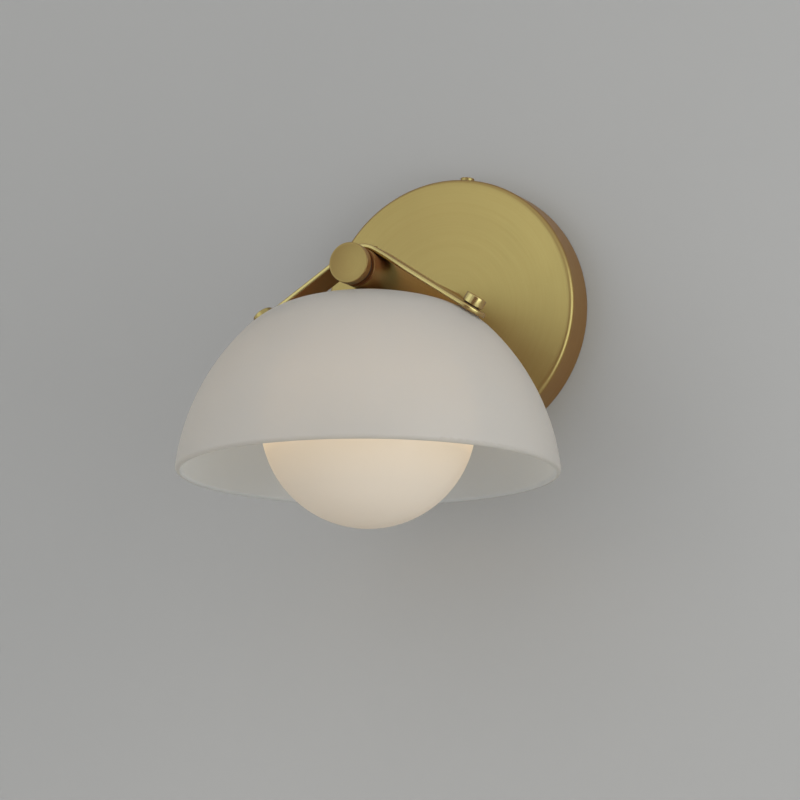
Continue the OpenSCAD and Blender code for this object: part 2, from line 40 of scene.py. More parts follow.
# Sizes shared with the construction model, in metres. The origin is where the arm's axis
# meets the wall: x runs to the right, y into the wall and z up.
REACH = 0.1135
HEAD = Vector((0.0, -REACH, 0.0))
ARM_R = 0.0095
ARM_OVERRUN = 0.0152
TUBE_FRONT = REACH + ARM_OVERRUN
ARM_AXIS = (0, 1, 0)
UPRIGHT = (0, 0, 1)
ORIGIN = (0, 0, 0)
# The right and the left side: their sign along x, and the word in a piece's name
SIDES = ((1, "right"), (-1, "left"))

# The strap: its slope, its two faces measured from the arm's axis, and its legs
LEG = math.radians(33.5)
STRAP_T = 0.0024
STRAP_W = 0.0192
STRAP_IN = ARM_R + 0.0003
STRAP_MID = STRAP_IN + STRAP_T / 2
STRAP_OUT = STRAP_IN + STRAP_T
LEG_TO_SCREW = 0.0544426
LEG_END = LEG_TO_SCREW + 0.008

# The side screws: where their axis passes in front of the wall, and how far it is turned
SIDE_SCREW_AT = (0, -0.009, 0)
EAR_TURN = math.radians(5)


def new_object(name, data):
    thing = bpy.data.objects.new(name, data)
    scene.collection.objects.link(thing)
    return thing


# The camera, fitted to points traced on the photograph: angles in radians, place in metres
PITCH = 0.188229454
YAW = 0.409705137
ROLL = 0.006118281
CAMERA_AT = Vector((1.10839013, -2.62815721, -0.58459515))
# The focal length and the image's width in pixels, and half a pixel as an angle
FOCAL = 5975.559069526
IMAGE_W = 800.0
HALF_PIXEL = 0.0000837
# The film's width in millimetres
FILM_W = 36.0


def place_camera():
    """Puts the camera at the photograph's angle."""
    # half a pixel of turn puts pixel centres where they were measured
    pitch = PITCH + HALF_PIXEL
    yaw = YAW + HALF_PIXEL / math.cos(pitch)
    level = math.cos(pitch)
    forward = Vector((-math.sin(yaw) * level, math.cos(yaw) * level, math.sin(pitch)))
    right = Vector((math.cos(yaw), math.sin(yaw), 0.0))
    up = right.cross(forward)
    rolled_right = right * math.cos(ROLL) + up * math.sin(ROLL)
    rolled_up = up * math.cos(ROLL) - right * math.sin(ROLL)
    place = Matrix((rolled_right, rolled_up, -forward)).transposed().to_4x4()
    place.translation = CAMERA_AT
    data = bpy.data.cameras.new("camera")
    data.sensor_width = FILM_W
    data.lens = FILM_W * FOCAL / IMAGE_W
    data.clip_start = 0.05
    data.clip_end = 60.0
    camera = new_object("camera", data)
    camera.matrix_world = place
    scene.camera = camera


place_camera()


# Colours and materials

# Nearly all of a noise pattern lies between these levels
NOISE_LOW = 0.3
NOISE_HIGH = 0.7


def shaded(colour, factor):
    return tuple(v * factor for v in colour)


def between(a, b, share):
    """The colour that lies this share of the way from a to b."""
    return tuple(v + (w - v) * share for v, w in zip(a, b))


def linear(*levels):
    """The linear colour of an sRGB one, given from 0 to 255."""
    values = []
    for level in levels:
        v = level / 255
        values.append(v / 12.92 if v <= 0.04045 else ((v + 0.055) / 1.055) ** 2.4)
    return tuple(values)


class Mat:
    """A material with short calls for its nodes. A call that adds a node returns its output."""

    def __init__(self, name):
        self.mat = bpy.data.materials.new(name)
        self.mat.use_nodes = True
        self.tree = self.mat.node_tree
        self.tree.nodes.clear()
        self.out = self.add("ShaderNodeOutputMaterial")
        self.bsdf = self.add("ShaderNodeBsdfPrincipled")
        self.show(self.bsdf.outputs[0])

    def add(self, kind, **fields):
        """The new node itself."""
        node = self.tree.nodes.new(kind)
        for key, value in fields.items():
            setattr(node, key, value)
        return node

    def link(self, source, socket):
        self.tree.links.new(source, socket)

    def put(self, socket, value):
        """Links an input to another node's output, or sets it to a number or to three of them."""
        if isinstance(value, bpy.types.NodeSocket):
            self.link(value, socket)
        elif socket.type == "RGBA":
            socket.default_value = (*value, 1.0)
        else:
            socket.default_value = value

    def set(self, **values):
        """Sets inputs of the main shader by name, with _ for a space."""
        for key, value in values.items():
            self.put(self.bsdf.inputs[key.replace("_", " ")], value)

    def show(self, shader):
        self.link(shader, self.out.inputs["Surface"])

    def mix_shader(self, share, first, second):
        """The first shader with this share of the second."""
        node = self.add("ShaderNodeMixShader")
        self.put(node.inputs[0], share)
        self.link(first, node.inputs[1])
        self.link(second, node.inputs[2])
        return node.outputs[0]

    def position(self):
        return self.add("ShaderNodeTexCoord").outputs["Object"]

    def math(self, op, *values):
        node = self.add("ShaderNodeMath", operation=op)
        for i, value in enumerate(values):
            self.put(node.inputs[i], value)
        return node.outputs[0]

    def vector(self, op, *values):
        node = self.add("ShaderNodeVectorMath", operation=op)
        for i, value in enumerate(values):
            self.put(node.inputs[i], value)
        return node.outputs["Value" if op in ("LENGTH", "DOT_PRODUCT") else "Vector"]

    def join(self, x, y, z):
        node = self.add("ShaderNodeCombineXYZ")
        for i, value in enumerate((x, y, z)):
            self.put(node.inputs[i], value)
        return node.outputs[0]

    def noise(self, vector, scale, detail, rough):
        """A noise pattern. scale is its waves per metre."""
        node = self.add("ShaderNodeTexNoise")
        self.link(vector, node.inputs["Vector"])
        node.inputs["Scale"].default_value = scale
        node.inputs["Detail"].default_value = detail
        node.inputs["Roughness"].default_value = rough
        return node.outputs["Fac"]

    def ramp(self, value, *stops):
        """A colour that changes with a value. stops are (value, colour) pairs."""
        node = self.add("ShaderNodeValToRGB")
        self.put(node.inputs[0], value)
        elements = node.color_ramp.elements
        while len(elements) < len(stops):
            elements.new(1.0)
        for i, (position, colour) in enumerate(stops):
            elements[i].position = position
            elements[i].color = (*colour, 1.0)
        return node.outputs[0]

    def span(self, value, to_low, to_high, start, end):
        """A value that goes from to_low to to_high while another goes from start to end."""
        node = self.add("ShaderNodeMapRange")
        self.put(node.inputs["Value"], value)
        for key, v in (("From Min", start), ("From Max", end), ("To Min", to_low), ("To Max", to_high)):
            node.inputs[key].default_value = v
        return node.outputs[0]

    def swing(self, pattern, low, high):
        """A value that follows a noise pattern from low to high."""
        return self.span(pattern, low, high, NOISE_LOW, NOISE_HIGH)

    def drift(self, pattern, low, high):
        """A colour that follows a noise pattern from low to high."""
        return self.ramp(pattern, (NOISE_LOW, low), (NOISE_HIGH, high))

    def mix(self, share, a, b, blend="MIX"):
        node = self.add("ShaderNodeMix", data_type="RGBA", blend_type=blend)
        self.put(node.inputs[0], share)
        self.put(node.inputs[6], a)
        self.put(node.inputs[7], b)
        return node.outputs[2]

    def stain(self, base, pattern, colour, most, start, full):
        """Adds a colour where a pattern is strong: none up to start, and the most from full on."""
        return self.mix(self.span(pattern, 0.0, most, start, full), base, colour)

    def brighten(self, base, factor):
        return self.mix(1.0, base, self.join(factor, factor, factor), "MULTIPLY")

    def bump(self, height, strength, distance, normal=None):
        node = self.add("ShaderNodeBump")
        self.link(height, node.inputs["Height"])
        node.inputs["Strength"].default_value = strength
        node.inputs["Distance"].default_value = distance
        if normal is not None:
            self.link(normal, node.inputs["Normal"])
        return node.outputs[0]


# Brass

BRASS_DARK = (0.218, 0.202, 0.072)
BRASS = (0.270, 0.258, 0.099)
# Turned heads and rubbed edges are paler
BRASS_PALE = (0.62, 0.60, 0.27)
# What an aged, lacquered face scatters instead of mirroring it
PATINA = (0.40, 0.13, 0.043)
# How much a brush stroke changes along its length, against across it, and its depth
STROKE_DRIFT = 0.02
STROKE_DEPTH = 0.00006
# The canopy's flat face fades into its side between these radii
FACE_R = 0.0615
SIDE_R = 0.0635
# Painted light: the canopy's face is painted lighter from left to right between these places across it
PAINTED_LIGHT_FROM_X = -0.02
PAINTED_LIGHT_TO_X = 0.05
# Painted shade: the tube is painted dark from here on to its front, by the knob's neck, after a change
# this long
GROOVE_SHADE_FROM = TUBE_FRONT - 0.0009
GROOVE_SHADE_BLUR = 0.0002
GROOVE_SHADE = (0.02, 0.012, 0.004)


def stroke_space(m, p, axis, grain):
    """Places for the brush strokes' noise, the distance along an axis, and the one from it."""
    along = m.vector("DOT_PRODUCT", p, axis)
    side = m.vector("SUBTRACT", p, m.vector("MULTIPLY", m.join(along, along, along), axis))
    radius = m.vector("LENGTH", side)
    if grain == "round":
        # strokes run round the axis: they change along it and across the radius
        drift = m.vector("MULTIPLY", side, (STROKE_DRIFT, STROKE_DRIFT, STROKE_DRIFT))
        return m.vector("ADD", m.join(radius, along, 0.0), drift), along, radius
    # strokes run along the axis: they change across it
    drift = m.join(m.math("MULTIPLY", along, STROKE_DRIFT), 0.0, 0.0)
    return m.vector("ADD", side, drift), along, radius


def brass(name, centre, axis, grain="round", tone=1.0, rough=0.34, pale=0.0, patina=0.25,
          shade_from=None, painted_light_right=0.0):
    """Brushed aged brass. The brushing runs round an axis, or along it.

    tone makes it lighter or darker, and pale goes from 0, aged, to 1, freshly turned.
    patina is the share of it that scatters light. shade_from is a distance along the axis,
    past which the metal is painted dull and dark as painted shade. painted_light_right is how
    much lighter the face is painted on the right, as painted light.
    """
    m = Mat(name)
    p = m.vector("SUBTRACT", m.position(), tuple(centre))
    strokes, along, radius = stroke_space(m, p, tuple(Vector(axis).normalized()), grain)
    fine = m.noise(strokes, scale=5200.0, detail=4.0, rough=0.65)
    broad = m.noise(strokes, scale=700.0, detail=3.0, rough=0.6)
    cloud = m.noise(p, scale=26.0, detail=4.0, rough=0.6)
    spots = m.noise(p, scale=210.0, detail=4.0, rough=0.7)
    bright = shaded(between(BRASS, BRASS_PALE, pale), tone)
    dark = shaded(between(BRASS_DARK, BRASS_PALE, pale), tone)
    base = m.drift(cloud, shaded(bright, 0.96), shaded(bright, 1.03))
    base = m.stain(base, fine, dark, most=0.35, start=0.35, full=0.75)
    base = m.stain(base, broad, dark, most=0.20, start=0.40, full=0.75)
    base = m.stain(base, spots, shaded(dark, 0.85), most=0.20, start=0.60, full=0.85)
    # Painted light: the face is painted lighter towards the right
    if painted_light_right:
        across = m.vector("DOT_PRODUCT", p, (1, 0, 0))
        on_face = m.span(radius, 1.0, 0.0, FACE_R, SIDE_R)
        painted_lift = m.span(across, 0.0, painted_light_right, PAINTED_LIGHT_FROM_X, PAINTED_LIGHT_TO_X)
        base = m.brighten(base, m.math("MULTIPLY_ADD", painted_lift, on_face, 1.0))
    # Painted shade: the metal is painted dark near the knob
    if shade_from:
        base = m.stain(base, along, GROOVE_SHADE, most=0.9, start=shade_from, full=shade_from + GROOVE_SHADE_BLUR)
    roughness = m.math("ADD", m.swing(broad, rough - 0.02, rough + 0.03), m.swing(cloud, -0.03, 0.05))
    normal = m.bump(fine, strength=0.20, distance=STROKE_DEPTH)
    normal = m.bump(broad, strength=0.04, distance=STROKE_DEPTH, normal=normal)
    m.set(Base_Color=base, Metallic=1.0, Roughness=roughness, Normal=normal)
    matt = m.add("ShaderNodeBsdfDiffuse")
    m.put(matt.inputs["Color"], m.mix(m.swing(cloud, 0.0, 0.25), PATINA, shaded(PATINA, 0.7)))
    m.link(normal, matt.inputs["Normal"])
    m.show(m.mix_shader(patina, m.bsdf.outputs[0], matt.outputs[0]))
    return m.mat


# Other metals, plastic, rubber and glass

GRAIN_DEPTH = 0.0001
OPAL_GRAIN_DEPTH = 0.00004


def steel(name, colour, rough, metallic=1.0):
    """Plated steel, a little cloudy."""
    m = Mat(name)
    p = m.position()
    grain = m.noise(p, scale=420.0, detail=4.0, rough=0.6)
    cloud = m.noise(p, scale=50.4, detail=3.0, rough=0.6)
    m.set(Base_Color=m.drift(cloud, shaded(colour, 0.86), colour), Metallic=metallic,
          Roughness=m.swing(grain, rough - 0.06, rough + 0.08),
          Normal=m.bump(grain, strength=0.15, distance=GRAIN_DEPTH))
    return m.mat


def plain(name, colour, rough):
    """Plastic, rubber, ceramic or a lead's sleeve, with a fine grain."""
    m = Mat(name)
    p = m.position()
    grain = m.noise(p, scale=500.0, detail=4.0, rough=0.6)
    cloud = m.noise(p, scale=50.0, detail=3.0, rough=0.6)
    m.set(Base_Color=m.drift(cloud, shaded(colour, 0.9), shaded(colour, 1.1)),
          Roughness=m.swing(grain, rough - 0.08, rough + 0.08),
          Normal=m.bump(grain, strength=0.2, distance=GRAIN_DEPTH))
    return m.mat


def straight_on(m, scattered, colour, share):
    """Lets part of the light go nearly straight on, so that a lamp behind shows as a soft glow."""
    straight = m.add("ShaderNodeBsdfRefraction")
    straight.inputs["Roughness"].default_value = 0.85
    straight.inputs["IOR"].default_value = 1.05
    m.put(straight.inputs["Color"], colour)
    return m.mix_shader(share, scattered, straight.outputs[0])


def opal(name, colour, through_colour, through, rough, straight=0.0):
    """White opal glass with a satin face: it lets through and scatters what is behind it.

    through is the share of the light that goes through it, and straight is the share of
    that light which goes nearly straight on.
    """
    m = Mat(name)
    p = m.position()
    grain = m.noise(p, scale=1400.0, detail=3.0, rough=0.6)
    cloud = m.noise(p, scale=14.0, detail=4.0, rough=0.6)
    base = m.drift(cloud, shaded(colour, 0.975), colour)
    m.set(Base_Color=base, Roughness=m.swing(grain, rough - 0.03, rough + 0.04),
          Normal=m.bump(grain, strength=0.10, distance=OPAL_GRAIN_DEPTH), IOR=1.5)
    scatter = m.add("ShaderNodeBsdfTranslucent")
    m.put(scatter.inputs["Color"], m.mix(0.5, base, through_colour))
    passed = scatter.outputs[0]
    if straight:
        passed = straight_on(m, passed, through_colour, straight)
    m.show(m.mix_shader(through, m.bsdf.outputs[0], passed))
    return m


def glow_by_height(m, colour, stops):
    """Light that the glass itself gives off. stops are (height, strength) pairs."""
    height = m.add("ShaderNodeSeparateXYZ")
    m.link(m.position(), height.inputs[0])
    low = stops[0][0]
    high = stops[-1][0]
    levels = [((z - low) / (high - low), (v, v, v)) for z, v in stops]
    strength = m.ramp(m.span(height.outputs[2], 0.0, 1.0, low, high), *levels)
    m.set(Emission_Color=colour, Emission_Strength=strength)


def glow_inside(m, colour, centre):
    """Light on the face that looks towards a point: it comes through the glass from outside."""
    outwards = m.vector("NORMALIZE", m.vector("SUBTRACT", m.position(), tuple(centre)))
    normal = m.add("ShaderNodeTexCoord").outputs["Normal"]
    facing = m.vector("DOT_PRODUCT", normal, outwards)
    m.set(Emission_Color=colour, Emission_Strength=m.span(facing, 1.0, 0.0, -0.2, 0.1))


# What each piece is made of

def leg_run(side):
    """The direction of a leg of the strap, downwards. side is 1 on the right and -1 on the left."""
    return Vector((side * math.cos(LEG), 0.0, -math.sin(LEG)))


def leg_axis(side):
    """The direction of a thumb screw's axis, outwards."""
    return Vector((side * math.sin(LEG), 0.0, math.cos(LEG)))


def leg_frame(side):
    """The frame at a thumb screw: z runs out along its axis, from the level of the arm's axis."""
    x = leg_run(side)
    z = leg_axis(side)
    place = Matrix((x, z.cross(x), z)).transposed().to_4x4()
    place.translation = HEAD + x * LEG_TO_SCREW
    return place


def give(names, material):
    for name in names:
        slots = nodes[name].data.materials
        slots.clear()
        slots.append(material)


# The canopy's face is painted lighter towards the right: painted light
give(["canopy", "arm_rear_plug"], brass("brass_turned", ORIGIN, ARM_AXIS, rough=0.33, painted_light_right=0.32))
# The tube's front end is painted dark by the knob's neck: painted shade
give(["arm_tube", "arm_front_plug"], brass("brass_tube", ORIGIN, (0, -1, 0), shade_from=GROOVE_SHADE_FROM))
knob_brass = brass("brass_knob", ORIGIN, ARM_AXIS, tone=0.80)
give(["end_knob"], knob_brass)
side_axis = (math.sin(EAR_TURN), 0, math.cos(EAR_TURN))
give(["side_screw_top", "side_screw_bottom"], brass("brass_side", SIDE_SCREW_AT, side_axis))
give(["hub"], brass("brass_hub", HEAD, UPRIGHT))
strap_brass = brass("brass_strap", HEAD, ARM_AXIS, grain="along", patina=0.22)
# The strap's underside is painted lighter and browner: painted light from below
strap_under_painted_light = brass("brass_strap_under", HEAD, ARM_AXIS, grain="along", patina=0.70, tone=1.6)
strap_edge = brass("brass_strap_edge", HEAD, ARM_AXIS, grain="along", rough=0.20, pale=0.38)
give(["strap"], strap_brass)
give(["strap_screw"], brass("brass_strap_screw", HEAD, UPRIGHT))
thumb_brass = {}
for side, word in SIDES:
    # The left head is painted less pale than the right one: painted shade
    thumb_brass[side] = brass("brass_thumb_" + word, leg_frame(side).translation, leg_axis(side),
                              rough=0.15, pale=0.45 if side > 0 else 0.12)
    give(["thumb_screw_" + word], thumb_brass[side])
give(["clamp_nuts"], brass("brass_nuts", HEAD, UPRIGHT, rough=0.32))

give(["wall_bracket", "terminal_screws", "arm_nipple", "arm_nut", "arm_washer", "hub_nipple", "hub_nut",
      "bulb_pins"], steel("zinc_plate", (0.62, 0.61, 0.58), rough=0.38))
give(["lamp_contacts"], steel("nickel", (0.66, 0.64, 0.60), rough=0.30))
give(["ground_screw"], steel("green_zinc", (0.07, 0.32, 0.12), rough=0.45, metallic=0.5))
give(["terminal_block"], plain("block_plastic", (0.80, 0.78, 0.72), rough=0.5))
give(["lamp_holder", "bulb_base"], plain("ceramic", (0.84, 0.81, 0.74), rough=0.38))
give(["knob_neck", "thumb_washer_left", "thumb_washer_right"],
     plain("dark_rubber", (0.030, 0.020, 0.013), rough=0.55))
give(["globe_gasket"], plain("silicone", (0.70, 0.71, 0.68), rough=0.5))
give(["dome_pads", "inner_washers"], plain("smoke_silicone", (0.26, 0.22, 0.17), rough=0.5))
give(["lead_live"], plain("lead_black", (0.02, 0.02, 0.02), rough=0.45))
give(["lead_neutral"], plain("lead_white", (0.75, 0.75, 0.72), rough=0.45))
give(["lead_ground"], plain("lead_green", (0.05, 0.30, 0.10), rough=0.45))

# A point on the dome's axis, a little above its rim
IN_DOME = HEAD + Vector((0, 0, -0.085))
dome = opal("opal_dome", (0.55, 0.555, 0.56), (0.99, 0.93, 0.81), through=0.54, rough=0.42, straight=0.40)
glow_inside(dome, (0.078, 0.105, 0.130), IN_DOME)
give(["dome"], dome.mat)

# Heights and strengths of the globe's light: the lamp sits high in it
GLOBE_GLOW = ((-0.122, 0.08), (-0.105, 0.11), (-0.088, 0.22), (-0.074, 0.66), (-0.056, 0.84),
              (-0.044, 0.40), (-0.020, 0.05))
globe = opal("opal_globe", (0.71, 0.685, 0.635), (0.96, 0.88, 0.74), through=0.25, rough=0.35)
glow_by_height(globe, (1.0, 0.73, 0.42), GLOBE_GLOW)
give(["globe"], globe.mat)

# The capsule is lit evenly
CAPSULE_GLOW = ((-0.08, 1.0), (-0.04, 1.0))
capsule = opal("capsule", (0.95, 0.92, 0.84), (1.0, 0.9, 0.75), through=0.4, rough=0.3)
glow_by_height(capsule, (1.0, 0.8, 0.52), CAPSULE_GLOW)
give(["bulb_capsule"], capsule.mat)


# Pieces with rounded edges and threads, in place of the plain solids

# Faces that meet at a larger angle than this have a sharp edge
SHARP = math.radians(35)
# Corners this close together are one
WELD = 1e-7
# Corners round a thread, and rows of them in each turn of it
THREAD_TURNS = 48
THREAD_ROWS = 8
# How far a threaded shaft reaches into its head, so that the two are one
SHAFT_IN_HEAD = 0.0002


def smooth(mesh):
    mesh.shade_smooth()
    mesh.set_sharp_from_angle(angle=SHARP)


def new_mesh(name, verts, faces):
    """A mesh of corners and faces, with its faces turned outwards."""
    mesh = bpy.data.meshes.new(name)
    mesh.from_pydata([tuple(v) for v in verts], [], faces)
    mesh.validate()
    bm = bmesh.new()
    bm.from_mesh(mesh)
    bmesh.ops.remove_doubles(bm, verts=bm.verts, dist=WELD)
    bmesh.ops.recalc_face_normals(bm, faces=bm.faces)
    bm.to_mesh(mesh)
    bm.free()
    return mesh


def add_piece(name, shape, material, body, stands_for):
    """A brass piece of (corners, faces) that moves with a body and stands for a node."""
    mesh = new_mesh(name, *shape)
    smooth(mesh)
    mesh.materials.append(material)
    piece = new_object(name, mesh)
    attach(piece, body)
    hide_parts(stands_for)
    return piece


def revolve(profile, place, turns=96):
    """Corners and faces of (radius, height) points turned about the z axis of a frame."""
    verts = []
    faces = []
    rings = []
    for r, z in profile:
        count = turns if r > 0 else 1
        rings.append(range(len(verts), len(verts) + count))
        for k in range(count):
            q = 2 * math.pi * k / turns
            verts.append(place @ Vector((r * math.cos(q), r * math.sin(q), z)))
    for a, b in zip(rings, rings[1:]):
        for k in range(turns):
            n = (k + 1) % turns
            quad = [a[k % len(a)], a[n % len(a)], b[n % len(b)], b[k % len(b)]]
            faces.append(list(dict.fromkeys(quad)))
    return verts, faces


def rounded_edge(r, z, size, steps=5):
    """Points of a rounded edge, from the side at radius r up to the face at height z."""
    angles = [math.pi / 2 * i / steps for i in range(steps, -1, -1)]
    return [(r - size * (1 - math.sin(q)), z - size * (1 - math.cos(q))) for q in angles]


def thread(r, depth, pitch, low, high, place):
    """Corners and faces of a threaded shaft that stays inside radius r, from height low to high."""
    verts = []
    faces = []
    rows = round((high - low) / pitch * THREAD_ROWS)
    for i in range(rows + 1):
        z = low + (high - low) * i / rows
        started = min(1.0, (z - low) / pitch)
        fade = max(min(started, (high - z) / pitch), 0.0)
        lead_in = depth * (1 - started)
        for k in range(THREAD_TURNS):
            phase = (z / pitch - k / THREAD_TURNS) % 1.0
            cut_in = depth * abs(2 * phase - 1) * fade
            radius = r - max(cut_in, lead_in)
            q = 2 * math.pi * k / THREAD_TURNS
            verts.append(place @ Vector((radius * math.cos(q), radius * math.sin(q), z)))
    for i in range(rows):
        row = i * THREAD_TURNS
        above = row + THREAD_TURNS
        for k in range(THREAD_TURNS):
            n = (k + 1) % THREAD_TURNS
            faces.append([row + k, row + n, above + n, above + k])
    faces.append(list(range(THREAD_TURNS - 1, -1, -1)))
    faces.append(list(range(rows * THREAD_TURNS, (rows + 1) * THREAD_TURNS)))
    return verts, faces


def joined(*shapes):
    """Several shapes, each given as (corners, faces), as one."""
    verts = []
    faces = []
    for more_verts, more_faces in shapes:
        base = len(verts)
        verts += more_verts
        faces += [[i + base for i in face] for face in more_faces]
    return verts, faces


# The thumb screws, with distances along their axis from the level of the arm's axis
THUMB_SEAT = STRAP_OUT + 0.0006
THUMB_TIP = -0.0012
THUMB_H = 0.0045
THUMB_TOP = THUMB_SEAT + THUMB_H
THUMB_R = 0.0052
THUMB_SHAFT_R = 0.00195
THUMB_BEVEL = 0.0003
THUMB_ROUND = 0.00045
# The dish in the top, as (radius, height): its edge, its floor's edge and its middle
THUMB_DISH = [(THUMB_R - 0.0011, THUMB_TOP - 0.00002), (THUMB_R - 0.0014, THUMB_TOP - 0.00012),
              (0.0, THUMB_TOP - 0.00018)]


def thumb_screw(side):
    """Corners and faces of a thumb screw: a head with a bevel, a rounded edge and a dish."""
    profile = [(0.0, THUMB_SEAT), (THUMB_R - THUMB_BEVEL, THUMB_SEAT), (THUMB_R, THUMB_SEAT + THUMB_BEVEL)]
    profile += rounded_edge(THUMB_R, THUMB_TOP, THUMB_ROUND)
    profile += THUMB_DISH
    place = leg_frame(side)
    shaft = thread(THUMB_SHAFT_R, depth=0.00028, pitch=0.0008, low=THUMB_TIP,
                   high=THUMB_SEAT + SHAFT_IN_HEAD, place=place)
    return joined(revolve(profile, place), shaft)


# The knob and its stud, with distances along the arm from the wall
NECK_L = 0.0047
KNOB_BACK = TUBE_FRONT + NECK_L
KNOB_L = 0.0048
KNOB_FRONT = KNOB_BACK + KNOB_L
KNOB_R = 0.00975
KNOB_ROUND = 0.0004
KNOB_BEVEL = 0.0001
STUD_R = 0.00295
STUD_L = 0.0085
# The dish in the front, as (radius, height): its edge, its floor's edge and its middle
KNOB_DISH = [(KNOB_R - 0.0009, KNOB_FRONT), (KNOB_R - 0.0012, KNOB_FRONT - 0.0001),
             (0.0, KNOB_FRONT - 0.0001)]


def knob():
    """Corners and faces of the end knob: rounded edges and a very shallow dish."""
    profile = [(0.0, KNOB_BACK), (KNOB_R - KNOB_ROUND, KNOB_BACK),
               (KNOB_R - KNOB_BEVEL, KNOB_BACK + KNOB_BEVEL), (KNOB_R, KNOB_BACK + KNOB_ROUND)]
    profile += rounded_edge(KNOB_R, KNOB_FRONT, KNOB_ROUND)
    profile += KNOB_DISH
    # z of this frame runs out along the arm
    place = Matrix(((1, 0, 0), (0, 0, -1), (0, 1, 0))).to_4x4()
    shaft = thread(STUD_R, depth=0.00035, pitch=0.001, low=TUBE_FRONT - STUD_L,
                   high=KNOB_BACK + SHAFT_IN_HEAD, place=place)
    return joined(revolve(profile, place, turns=128), shaft)


for side, word in SIDES:
    add_piece("thumb_screw_" + word + "_turned", thumb_screw(side), thumb_brass[side],
              word + "_thumb_screw", "thumb_screw_" + word)
add_piece("end_knob_turned", knob(), knob_brass, "knob", "end_knob")


# The strap, bent over the arm, with all its edges rounded

STRAP_ROUND = 0.0009
EDGE_STEPS = 7
TIP_STEPS = 18
BEND_STEPS = 20
LEG_STEPS = 5
SCREW_HOLE_R = 0.0022
SUNK_HOLE_R = 0.0039
# How far the bodies that cut the holes stand out of the strap
CUT_OVER = 0.001
# A face of the strap is flat if its normal is at least this close to the strap's own
FLAT = 0.8


def strap_point(s, across, out):
    """A point of the strap: s along it from the middle, across it, and outwards from its mid-surface."""
    side = 1 if s > 0 else -1
    q = side * min(abs(s) / STRAP_MID, LEG)
    on_leg = max(abs(s) - STRAP_MID * LEG, 0.0)
    normal = Vector((math.sin(q), 0.0, math.cos(q)))
    return HEAD + normal * (STRAP_MID + out) + leg_run(side) * on_leg + Vector((0, across, 0))


def strap_ring(inset):
    """The strap's outline, drawn in by inset, as (along, across): its front edge, then its back one."""
    w = STRAP_W / 2
    bend = STRAP_MID * LEG
    turn = bend + LEG_END - w
    angles = [math.pi / 2 * i / TIP_STEPS for i in range(TIP_STEPS + 1)]
    half = [(turn + (w - inset) * math.cos(q), (w - inset) * math.sin(q)) for q in angles]
    half += [(bend + (turn - bend) * (i / LEG_STEPS), w - inset) for i in range(LEG_STEPS - 1, 0, -1)]
    half += [(bend * (1 - i / BEND_STEPS), w - inset) for i in range(BEND_STEPS + 1)]
    front = [(s, -a) for s, a in half] + [(-s, -a) for s, a in reversed(half[:-1])]
    return front + [(s, -a) for s, a in reversed(front[1:-1])]


def strap_cap(base, ring):
    """Faces over one side of the strap: each point of its front edge faces one of its back edge."""
    last = ring // 2
    end = base + ring
    faces = [[base, base + 1, end - 1]]
    for k in range(1, last - 1):
        faces.append([base + k, base + k + 1, end - k - 1, end - k])
    faces.append([base + last - 1, base + last, end - last + 1])
    return faces


def bent_strap():
    """Corners and faces of the strap, without its holes."""
    levels = []
    for i in range(EDGE_STEPS + 1):
        q = math.pi / 2 * i / EDGE_STEPS
        levels.append((STRAP_ROUND * (1 - math.sin(q)), STRAP_ROUND * (1 - math.cos(q)) - STRAP_T / 2))
    levels += [(inset, -out) for inset, out in reversed(levels)]
    ring = len(strap_ring(0.0))
    verts = []
    for inset, out in levels:
        verts += [strap_point(s, across, out) for s, across in strap_ring(inset)]
    faces = []
    for base in range(0, len(verts) - ring, ring):
        for k in range(ring):
            n = (k + 1) % ring
            faces.append([base + k, base + n, base + ring + n, base + ring + k])
    faces += strap_cap(0, ring)
    faces += strap_cap(len(verts) - ring, ring)
    return verts, faces


def strap_holes():
    """The bodies to cut out of the strap: a sunk hole over the arm and a plain one in each leg."""
    low = STRAP_IN - CUT_OVER
    high = STRAP_OUT + CUT_OVER
    straight = [(0.0, low), (SCREW_HOLE_R, low), (SCREW_HOLE_R, high), (0.0, high)]
    sunk = [(0.0, low), (SCREW_HOLE_R, low), (SCREW_HOLE_R, STRAP_IN + 0.0002),
            (SUNK_HOLE_R, STRAP_OUT + 0.0001), (SUNK_HOLE_R, high), (0.0, high)]
    return [revolve(sunk, Matrix.Translation(HEAD)), revolve(straight, leg_frame(1)),
            revolve(straight, leg_frame(-1))]


def cut(piece, shapes):
    """Cuts closed shapes, each given as (corners, faces), out of a piece."""
    tools = []
    for i, shape in enumerate(shapes):
        tool = new_object(f"tool_{i}", new_mesh(f"tool_{i}", *shape))
        cutter = piece.modifiers.new(f"cut_{i}", "BOOLEAN")
        cutter.operation = "DIFFERENCE"
        cutter.solver = "EXACT"
        cutter.object = tool
        tools.append(tool)
    evaluated = piece.evaluated_get(bpy.context.evaluated_depsgraph_get())
    mesh = bpy.data.meshes.new_from_object(evaluated)
    piece.modifiers.clear()
    piece.data = mesh
    for tool in tools:
        tool_mesh = tool.data
        bpy.data.objects.remove(tool)
        bpy.data.meshes.remove(tool_mesh)
    smooth(piece.data)


def paint_strap(piece):
    """Gives each face of the strap its material: 0 on top, 1 on the edges and 2 underneath, painted
    lighter and browner as painted light from below.
    """
    for face in piece.data.polygons:
        from_head = face.center - HEAD
        side = 1 if from_head.x > 0 else -1
        q = min(abs(math.atan2(from_head.x, from_head.z)), LEG)
        level = face.normal.dot(Vector((side * math.sin(q), 0.0, math.cos(q))))
        face.material_index = 0 if level > FLAT else 2 if level < -FLAT else 1


strap = add_piece("strap_bent", bent_strap(), strap_brass, "fixture", "strap")
cut(strap, strap_holes())
strap.data.materials.append(strap_edge)
strap.data.materials.append(strap_under_painted_light)
paint_strap(strap)


# Wall and floor

WALL_Y = 0.0004
FLOOR_Z = -1.2
